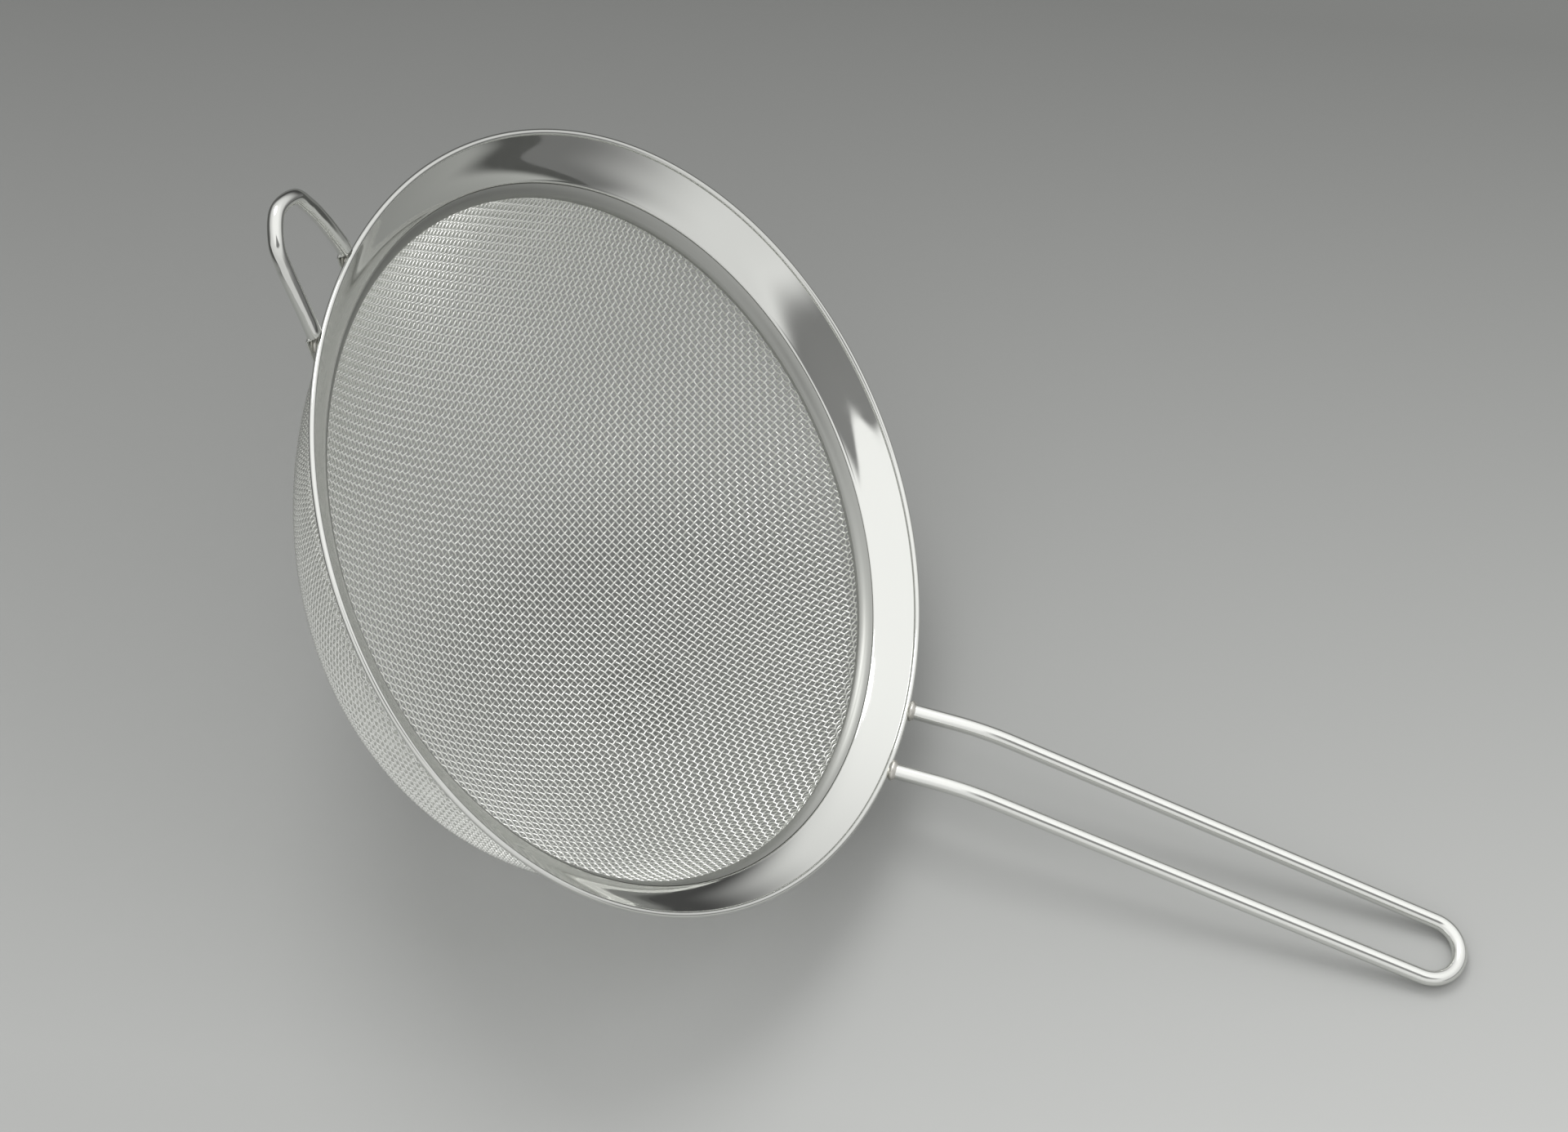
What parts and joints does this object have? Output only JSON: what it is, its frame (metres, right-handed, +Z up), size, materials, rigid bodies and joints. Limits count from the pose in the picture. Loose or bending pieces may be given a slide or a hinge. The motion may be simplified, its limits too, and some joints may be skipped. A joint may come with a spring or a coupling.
{
  "type": "fine mesh sieve",
  "caption": "Round kitchen sieve with a woven wire bowl in a wide polished rim, a long bent wire handle and a looped rest hook opposite it.",
  "frame": {"origin": "on the table the sieve lies on, under the middle of its outline", "axes": "+Z up from the table, +X towards the end of the handle, the sieve lying on its bowl and the end of its handle"},
  "size_m": [0.3366, 0.2, 0.1611],
  "materials": {
    "polished_steel": "mirror-polished stainless steel",
    "satin_steel": "satin stainless steel",
    "wire_cloth": "drawn stainless steel wire, plain weave"
  },
  "bodies": {
    "root": {"rim_ring": "polished_steel", "clamp_ring": "satin_steel", "mesh_bowl": "wire_cloth", "handle": "satin_steel", "handle_weld_left": "satin_steel", "handle_weld_right": "satin_steel", "rest_hook": "polished_steel", "hook_weld_left": "satin_steel", "hook_weld_right": "satin_steel"}
  },
  "joints": []
}
